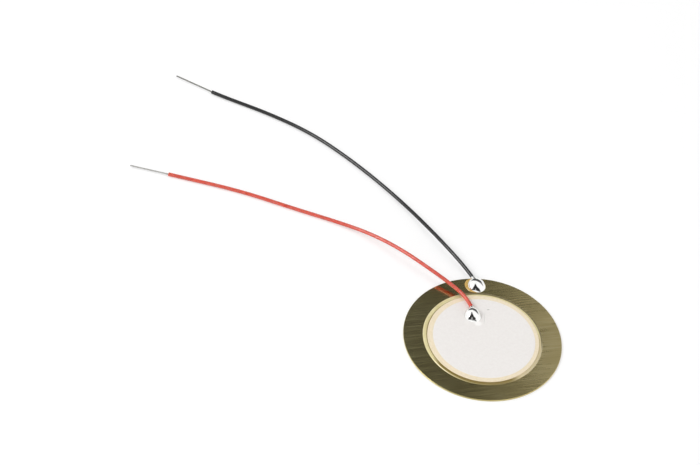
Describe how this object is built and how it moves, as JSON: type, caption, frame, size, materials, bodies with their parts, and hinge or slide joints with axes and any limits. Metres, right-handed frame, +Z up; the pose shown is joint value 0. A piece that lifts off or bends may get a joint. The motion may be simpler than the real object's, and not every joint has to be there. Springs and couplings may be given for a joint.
{
  "type": "piezo disc",
  "caption": "Thin round brass plate with a silvered piezo-ceramic disc bonded on it and soldered insulated leads ending in bare tips; buzzes when driven and senses vibration.",
  "frame": {"origin": "centre of the brass plate's underside", "axes": "+Z up through the ceramic, square to the plate; +Y from the plate's centre to the solder joint on the brass"},
  "size_m": [0.0538, 0.0546, 0.0018],
  "materials": {
    "brass_sheet": "satin",
    "adhesive": "gloss",
    "fired_silver": "matte",
    "piezo_ceramic": "matte",
    "solder": "polished",
    "black_jacket": "satin",
    "red_jacket": "satin",
    "tinned_copper": "satin"
  },
  "bodies": {
    "root": {"brass_plate": "brass_sheet", "bond_layer": "adhesive", "lower_electrode": "fired_silver", "ceramic_disc": "piezo_ceramic", "upper_electrode": "fired_silver", "brass_solder_joint": "solder", "electrode_solder_joint": "solder", "black_insulation": "black_jacket", "black_conductor": "tinned_copper", "red_insulation": "red_jacket", "red_conductor": "tinned_copper"}
  },
  "joints": []
}
